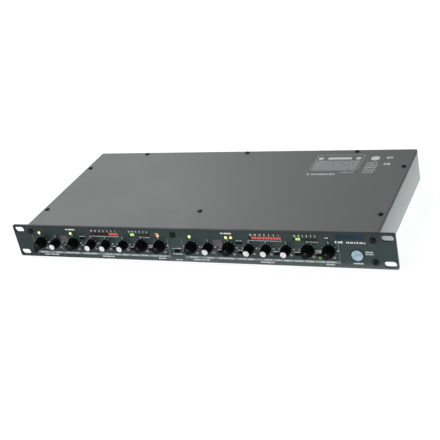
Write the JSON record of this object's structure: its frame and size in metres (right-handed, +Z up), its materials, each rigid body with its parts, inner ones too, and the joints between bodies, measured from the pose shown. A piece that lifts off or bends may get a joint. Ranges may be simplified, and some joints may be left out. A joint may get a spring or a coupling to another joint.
{
  "type": "rack compressor",
  "caption": "Dual-channel audio compressor in a 1U 19-inch rack case: knobs, push buttons and LED meters on the front, XLR, jack and mains sockets behind.",
  "frame": {"origin": "bottom centre of the bounding box, at the front panel's bottom edge", "axes": "+X to the right seen from the front, +Y from the front panel to the rear, +Z up"},
  "size_m": [0.4826, 0.223, 0.0444],
  "materials": {
    "panel_paint": "satin dark slate paint",
    "cover_paint": "fine-textured grey powder coat",
    "zinc_plate": "zinc-plated sheet",
    "black_plastic": "matt black moulding",
    "black_steel": "black oxide",
    "circuit_board": "green solder mask",
    "winding": "taped winding",
    "meter_lens": "smoked red lens"
  },
  "bodies": {
    "case": {"front_panel": "panel_paint", "chassis_tray": "zinc_plate", "top_cover": "cover_paint", "panel_screw_left_upper": "black_steel", "panel_screw_left_lower": "black_steel", "panel_screw_centre": "black_steel", "panel_screw_right_upper": "black_steel", "panel_screw_right_lower": "black_steel", "cover_screw_rear_left": "black_steel", "cover_screw_rear_centre": "black_steel", "cover_screw_rear_right": "black_steel", "cover_screw_left_rear": "black_steel", "cover_screw_left_front": "black_steel", "cover_screw_right_rear": "black_steel", "cover_screw_right_front": "black_steel", "cover_screw_centre_front": "black_steel", "ch1_gain_meter": "meter_lens", "ch1_level_meter": "meter_lens", "ch2_gain_meter": "meter_lens", "ch2_level_meter": "meter_lens", "control_board": "circuit_board", "main_board": "circuit_board", "toroidal_transformer": "winding", "ch1_xlr_input": "black_steel", "ch1_xlr_output": "black_steel", "ch2_xlr_input": "black_steel", "ch2_xlr_output": "black_steel", "ch1_sidechain_jack": "black_plastic", "ch2_sidechain_jack": "black_plastic", "mains_inlet": "black_plastic"},
    "ch1_expander_threshold": {"ch1_expander_threshold_knob": "black_plastic"},
    "ch1_expander_ratio": {"ch1_expander_ratio_knob": "black_plastic"},
    "ch1_compressor_threshold": {"ch1_compressor_threshold_knob": "black_plastic"},
    "ch1_compressor_ratio": {"ch1_compressor_ratio_knob": "black_plastic"},
    "ch1_compressor_attack": {"ch1_compressor_attack_knob": "black_plastic"},
    "ch1_compressor_release": {"ch1_compressor_release_knob": "black_plastic"},
    "ch1_output_gain": {"ch1_output_gain_knob": "black_plastic"},
    "ch1_limiter_threshold": {"ch1_limiter_threshold_knob": "black_plastic"},
    "ch2_expander_threshold": {"ch2_expander_threshold_knob": "black_plastic"},
    "ch2_expander_ratio": {"ch2_expander_ratio_knob": "black_plastic"},
    "ch2_compressor_threshold": {"ch2_compressor_threshold_knob": "black_plastic"},
    "ch2_compressor_ratio": {"ch2_compressor_ratio_knob": "black_plastic"},
    "ch2_compressor_attack": {"ch2_compressor_attack_knob": "black_plastic"},
    "ch2_compressor_release": {"ch2_compressor_release_knob": "black_plastic"},
    "ch2_output_gain": {"ch2_output_gain_knob": "black_plastic"},
    "ch2_limiter_threshold": {"ch2_limiter_threshold_knob": "black_plastic"},
    "ch1_sidechain_monitor": {"ch1_sidechain_monitor_button": "black_plastic"},
    "ch1_soft_knee": {"ch1_soft_knee_button": "black_plastic"},
    "ch1_sidechain_enable": {"ch1_sidechain_enable_button": "black_plastic"},
    "ch1_auto_timing": {"ch1_auto_timing_button": "black_plastic"},
    "ch1_meter_select": {"ch1_meter_select_button": "black_plastic"},
    "ch1_bypass": {"ch1_bypass_button": "black_plastic"},
    "ch2_sidechain_monitor": {"ch2_sidechain_monitor_button": "black_plastic"},
    "ch2_soft_knee": {"ch2_soft_knee_button": "black_plastic"},
    "ch2_sidechain_enable": {"ch2_sidechain_enable_button": "black_plastic"},
    "ch2_auto_timing": {"ch2_auto_timing_button": "black_plastic"},
    "ch2_meter_select": {"ch2_meter_select_button": "black_plastic"},
    "ch2_bypass": {"ch2_bypass_button": "black_plastic"},
    "stereo_link": {"stereo_link_button": "black_plastic"},
    "power_switch": {"power_rocker": "black_plastic"}
  },
  "joints": [
    {"name": "ch1_expander_threshold_turn", "type": "hinge", "parent": "case", "child": "ch1_expander_threshold", "pos_m": [-0.204, -0.09905, 0.0211], "axis": [0, 1, 0], "range_deg": [-150, 150]},
    {"name": "ch1_expander_ratio_turn", "type": "hinge", "parent": "case", "child": "ch1_expander_ratio", "pos_m": [-0.1825, -0.09905, 0.0211], "axis": [0, 1, 0], "range_deg": [-150, 150]},
    {"name": "ch1_compressor_threshold_turn", "type": "hinge", "parent": "case", "child": "ch1_compressor_threshold", "pos_m": [-0.1572, -0.09905, 0.0211], "axis": [0, 1, 0], "range_deg": [-150, 150]},
    {"name": "ch1_compressor_ratio_turn", "type": "hinge", "parent": "case", "child": "ch1_compressor_ratio", "pos_m": [-0.132, -0.09905, 0.0211], "axis": [0, 1, 0], "range_deg": [-150, 150]},
    {"name": "ch1_compressor_attack_turn", "type": "hinge", "parent": "case", "child": "ch1_compressor_attack", "pos_m": [-0.1117, -0.09905, 0.0211], "axis": [0, 1, 0], "range_deg": [-150, 150]},
    {"name": "ch1_compressor_release_turn", "type": "hinge", "parent": "case", "child": "ch1_compressor_release", "pos_m": [-0.088, -0.09905, 0.0211], "axis": [0, 1, 0], "range_deg": [-150, 150]},
    {"name": "ch1_output_gain_turn", "type": "hinge", "parent": "case", "child": "ch1_output_gain", "pos_m": [-0.063, -0.09905, 0.0211], "axis": [0, 1, 0], "range_deg": [-150, 150]},
    {"name": "ch1_limiter_threshold_turn", "type": "hinge", "parent": "case", "child": "ch1_limiter_threshold", "pos_m": [-0.0392, -0.09905, 0.0211], "axis": [0, 1, 0], "range_deg": [-150, 150]},
    {"name": "ch2_expander_threshold_turn", "type": "hinge", "parent": "case", "child": "ch2_expander_threshold", "pos_m": [0.002, -0.09905, 0.0211], "axis": [0, 1, 0], "range_deg": [-150, 150]},
    {"name": "ch2_expander_ratio_turn", "type": "hinge", "parent": "case", "child": "ch2_expander_ratio", "pos_m": [0.0235, -0.09905, 0.0211], "axis": [0, 1, 0], "range_deg": [-150, 150]},
    {"name": "ch2_compressor_threshold_turn", "type": "hinge", "parent": "case", "child": "ch2_compressor_threshold", "pos_m": [0.0488, -0.09905, 0.0211], "axis": [0, 1, 0], "range_deg": [-150, 150]},
    {"name": "ch2_compressor_ratio_turn", "type": "hinge", "parent": "case", "child": "ch2_compressor_ratio", "pos_m": [0.074, -0.09905, 0.0211], "axis": [0, 1, 0], "range_deg": [-150, 150]},
    {"name": "ch2_compressor_attack_turn", "type": "hinge", "parent": "case", "child": "ch2_compressor_attack", "pos_m": [0.0943, -0.09905, 0.0211], "axis": [0, 1, 0], "range_deg": [-150, 150]},
    {"name": "ch2_compressor_release_turn", "type": "hinge", "parent": "case", "child": "ch2_compressor_release", "pos_m": [0.118, -0.09905, 0.0211], "axis": [0, 1, 0], "range_deg": [-150, 150]},
    {"name": "ch2_output_gain_turn", "type": "hinge", "parent": "case", "child": "ch2_output_gain", "pos_m": [0.143, -0.09905, 0.0211], "axis": [0, 1, 0], "range_deg": [-150, 150]},
    {"name": "ch2_limiter_threshold_turn", "type": "hinge", "parent": "case", "child": "ch2_limiter_threshold", "pos_m": [0.1668, -0.09905, 0.0211], "axis": [0, 1, 0], "range_deg": [-150, 150]},
    {"name": "ch1_sidechain_monitor_push", "type": "slide", "parent": "case", "child": "ch1_sidechain_monitor", "axis": [0, 1, 0], "range_m": [0, 0.0014]},
    {"name": "ch1_soft_knee_push", "type": "slide", "parent": "case", "child": "ch1_soft_knee", "axis": [0, 1, 0], "range_m": [0, 0.0014]},
    {"name": "ch1_sidechain_enable_push", "type": "slide", "parent": "case", "child": "ch1_sidechain_enable", "axis": [0, 1, 0], "range_m": [0, 0.0014]},
    {"name": "ch1_auto_timing_push", "type": "slide", "parent": "case", "child": "ch1_auto_timing", "axis": [0, 1, 0], "range_m": [0, 0.0014]},
    {"name": "ch1_meter_select_push", "type": "slide", "parent": "case", "child": "ch1_meter_select", "axis": [0, 1, 0], "range_m": [0, 0.0014]},
    {"name": "ch1_bypass_push", "type": "slide", "parent": "case", "child": "ch1_bypass", "axis": [0, 1, 0], "range_m": [0, 0.0014]},
    {"name": "ch2_sidechain_monitor_push", "type": "slide", "parent": "case", "child": "ch2_sidechain_monitor", "axis": [0, 1, 0], "range_m": [0, 0.0014]},
    {"name": "ch2_soft_knee_push", "type": "slide", "parent": "case", "child": "ch2_soft_knee", "axis": [0, 1, 0], "range_m": [0, 0.0014]},
    {"name": "ch2_sidechain_enable_push", "type": "slide", "parent": "case", "child": "ch2_sidechain_enable", "axis": [0, 1, 0], "range_m": [0, 0.0014]},
    {"name": "ch2_auto_timing_push", "type": "slide", "parent": "case", "child": "ch2_auto_timing", "axis": [0, 1, 0], "range_m": [0, 0.0014]},
    {"name": "ch2_meter_select_push", "type": "slide", "parent": "case", "child": "ch2_meter_select", "axis": [0, 1, 0], "range_m": [0, 0.0014]},
    {"name": "ch2_bypass_push", "type": "slide", "parent": "case", "child": "ch2_bypass", "axis": [0, 1, 0], "range_m": [0, 0.0014]},
    {"name": "stereo_link_push", "type": "slide", "parent": "case", "child": "stereo_link", "axis": [0, 1, 0], "range_m": [0, 0.0014]},
    {"name": "power_switch_rock", "type": "hinge", "parent": "case", "child": "power_switch", "pos_m": [0.1792, 0.10545, 0.022], "axis": [1, 0, 0], "range_deg": [-18, 0]}
  ]
}
